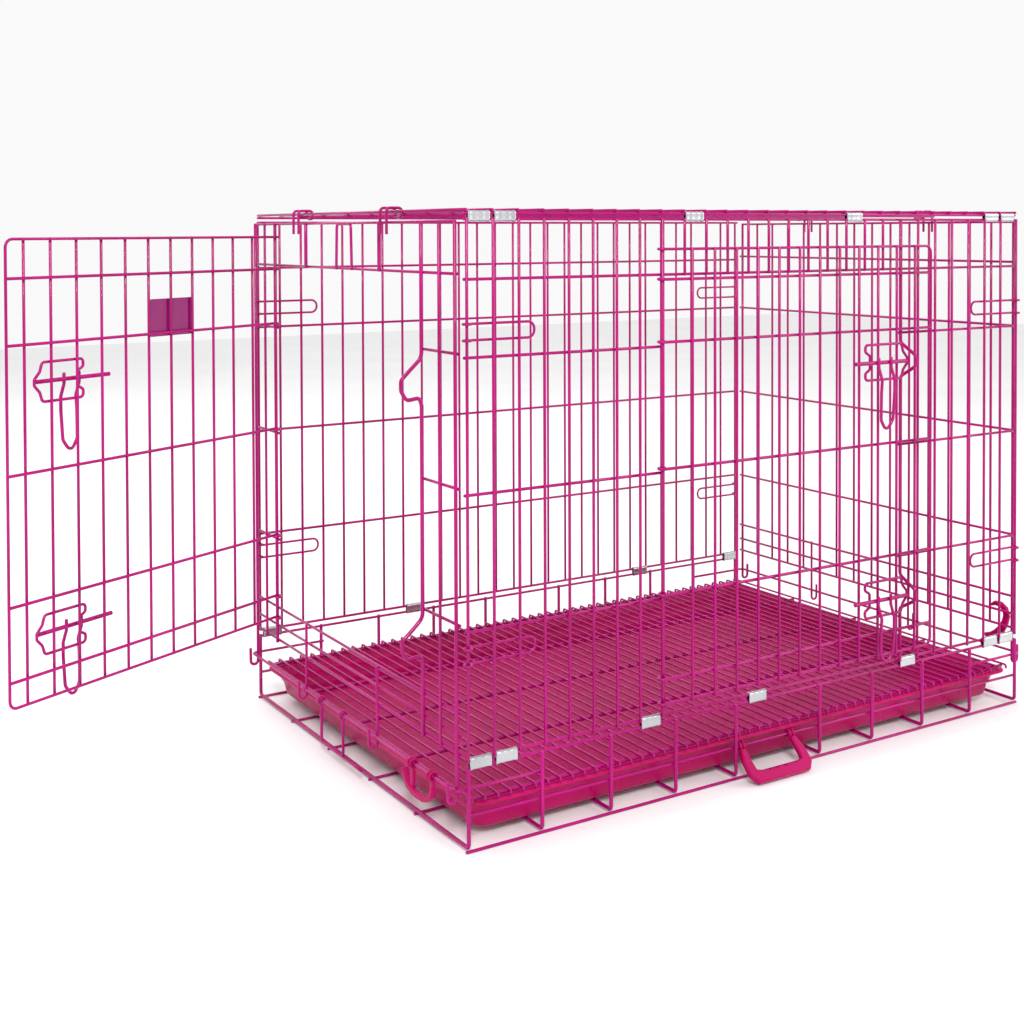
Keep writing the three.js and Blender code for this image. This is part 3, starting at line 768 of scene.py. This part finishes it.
def carry_handle():
    """A flat grip that hangs from the runner and leans out, with finger notches along its bar."""
    w = Wires()
    inner = [(0, -30.2), (6, -32.2), (12, -30.4), (18, -32.2), (23, -30.6), (31, -28.8), (31.8, -18)]
    outer = [(31.2, -4.4), (38.4, -4.4), (39.4, -10), (42, -17), (42, -34), (34.5, -42.6)]
    half = [Vector(q) for q in inner + outer]
    left = [Vector((-q.x, q.y)) for q in reversed(half[1:])]
    outline = rounded(left + half, 2.4, closed=True, steps=3)

    def put(u, v, d):
        y = v * math.sin(HANDLE_LEAN) + d * math.cos(HANDLE_LEAN)
        z = v * math.cos(HANDLE_LEAN) - d * math.sin(HANDLE_LEAN)
        return (fx(HANDLE_X) + u, INNER + 0.1 + y, RUNNER_Z + z)

    w.slab(outline, put, HANDLE_THICK, 1.3)
    for u in (-36.6, -32.2, 32.2, 36.6):
        eye(w, INNER + 0.1, RUNNER_Z, 3.9, lambda p, q, u=u: (fx(HANDLE_X) + u, p, q))
    return w.build("carry_handle_grip", plastic, "carry_handle", ["carry_handle"], sharp=40)


def ribbon(path, widths):
    """Outline of a strip along a flat path, with this half width at each point."""
    pts = [Vector(q) for q in path]
    n = len(pts)
    one, other = [], []
    for i, p in enumerate(pts):
        t = (pts[min(i + 1, n - 1)] - pts[max(i - 1, 0)]).normalized()
        side = Vector((-t.y, t.x)) * widths[i]
        one.append(p + side)
        other.append(p - side)
    return rounded(one + other[::-1], 1.6, closed=True, steps=2)


def claw_hook():
    """The left closing claw: a curved strip on two legs that hang from the end rail."""
    w = Wires()
    x = fx(-END_RAIL_OFF)

    def put(u, v, d):
        return (x + d, u, v)

    path = [
        (104, 49), (100.5, 41), (95, 35), (86, 31.4), (75, 30.4), (64, 31.2), (55, 34.4), (48, 40), (45, 47),
    ]
    widths = [1.6, 3.0, 3.6, 3.4, 3.2, 3.2, 3.2, 3.0, 2.2]
    w.slab(ribbon(path, widths), put, 6.4, 1.2)
    high = END_RAIL_Z - 3.4
    for y, low in ((48.0, 39.0), (87.0, 32.0)):
        leg = [(y - 3, low), (y + 3, low), (y + 3, high), (y - 3, high)]
        w.slab(rounded(leg, 0.8, closed=True, steps=2), put, 3.4, 0.6)
        for side in (-2.2, 2.2):
            eye(w, x, END_RAIL_Z, 4.0, lambda p, q, at=y + side: (p, at, q))
    return w.build("closing_claw_left", plastic, "claw_hook", ["claw_hook"], sharp=40)


def s_hook():
    """The right closing claw: a curved strip that stands against the right end."""
    w = Wires()
    x = fx(LENGTH + END_OFF + 5.6)
    path = [
        (53, 68), (44, 70), (36, 73.5), (29.5, 80), (24, 89), (21.5, 98), (23.5, 106), (30, 110.5),
        (38, 110.5), (45, 106.5),
    ]
    widths = [2.6, 3.6, 5.0, 5.0, 4.4, 4.2, 4.0, 3.4, 2.8, 1.2]
    w.slab(ribbon(path, widths), lambda u, v, d: (x + d, u, v), 5.0, 1.1)
    return w.build("closing_claw_right", plastic, "right_end", ["s_hook"], sharp=40)


carry_handle()
claw_hook()
s_hook()

# --- stage, light and camera, in metres --------------------------------------------------------------------
FLOOR_HALF = 6.0
FLOOR_CORNERS = [(FLOOR_HALF * sx, FLOOR_HALF * sy, 0) for sx, sy in ((-1, -1), (1, -1), (1, 1), (-1, 1))]
floor_mesh = bpy.data.meshes.new("studio_floor")
floor_mesh.from_pydata(FLOOR_CORNERS, [], [(0, 1, 2, 3)])
floor = bpy.data.objects.new("studio_floor", floor_mesh)
bpy.context.collection.objects.link(floor)
floor_material, floor_tree, floor_shader = node_material("pale_floor")
floor_mottle = noise(floor_tree, 3.0)
FLOOR_DARK = (0.83, 0.83, 0.83, 1)
FLOOR_LIGHT = (0.87, 0.87, 0.87, 1)
floor_tint = ramp(floor_tree, floor_mottle.outputs["Fac"], (0.3, FLOOR_DARK), (0.7, FLOOR_LIGHT))
floor_tree.links.new(floor_tint.outputs["Color"], floor_shader.inputs["Base Color"])
floor_shader.inputs["Roughness"].default_value = 0.7
floor_mesh.materials.append(floor_material)

world = bpy.data.worlds.new("studio_world")
bpy.context.scene.world = world
world.use_nodes = True
background = world.node_tree.nodes["Background"]
background.inputs["Color"].default_value = (1, 1, 1, 1)
background.inputs["Strength"].default_value = 0.95


def area_light(name, position, target, size, power):
    """A square soft light that faces the target."""
    data = bpy.data.lights.new(name, "AREA")
    data.shape = "SQUARE"
    data.size = size
    data.energy = power
    obj = bpy.data.objects.new(name, data)
    bpy.context.collection.objects.link(obj)
    direction = Vector(target) - Vector(position)
    obj.matrix_world = Matrix.Translation(position) @ direction.to_track_quat("-Z", "Y").to_matrix().to_4x4()


area_light("key_light", (-1.6, -2.2, 2.2), (0, 0.25, 0.3), 0.7, 70)
area_light("fill_light", (2.4, -1.6, 1.6), (0, 0.25, 0.3), 1.6, 30)
area_light("back_light", (-0.8, 2.6, 2.4), (0, 0.25, 0.4), 1.6, 35)

# Almost level, and shifted down instead of tilted, so that upright wires stay upright.
CAMERA_LENS = 49.0078
CAMERA_SHIFT_Y = -0.24707
CAMERA_AT = Vector((-1.00992, -1.09132, 0.56758))
CAMERA_YAW = math.radians(31.94)
CAMERA_PITCH = math.radians(1.14)
CAMERA_ROLL = math.radians(-0.19)
camera_data = bpy.data.cameras.new("photo_camera")
camera_data.sensor_width = 36.0
camera_data.lens = CAMERA_LENS
camera_data.shift_y = CAMERA_SHIFT_Y
camera = bpy.data.objects.new("photo_camera", camera_data)
bpy.context.collection.objects.link(camera)
look = Vector((
    math.sin(CAMERA_YAW) * math.cos(CAMERA_PITCH),
    math.cos(CAMERA_YAW) * math.cos(CAMERA_PITCH),
    -math.sin(CAMERA_PITCH),
))
level_right = Vector((math.cos(CAMERA_YAW), -math.sin(CAMERA_YAW), 0))
level_up = level_right.cross(look)
right = level_right * math.cos(CAMERA_ROLL) + level_up * math.sin(CAMERA_ROLL)
up = level_up * math.cos(CAMERA_ROLL) - level_right * math.sin(CAMERA_ROLL)
turn = Matrix((right, up, -look)).transposed().to_4x4()
camera.matrix_world = Matrix.Translation(CAMERA_AT) @ turn
bpy.context.scene.camera = camera
bpy.context.scene.view_settings.view_transform = "Standard"
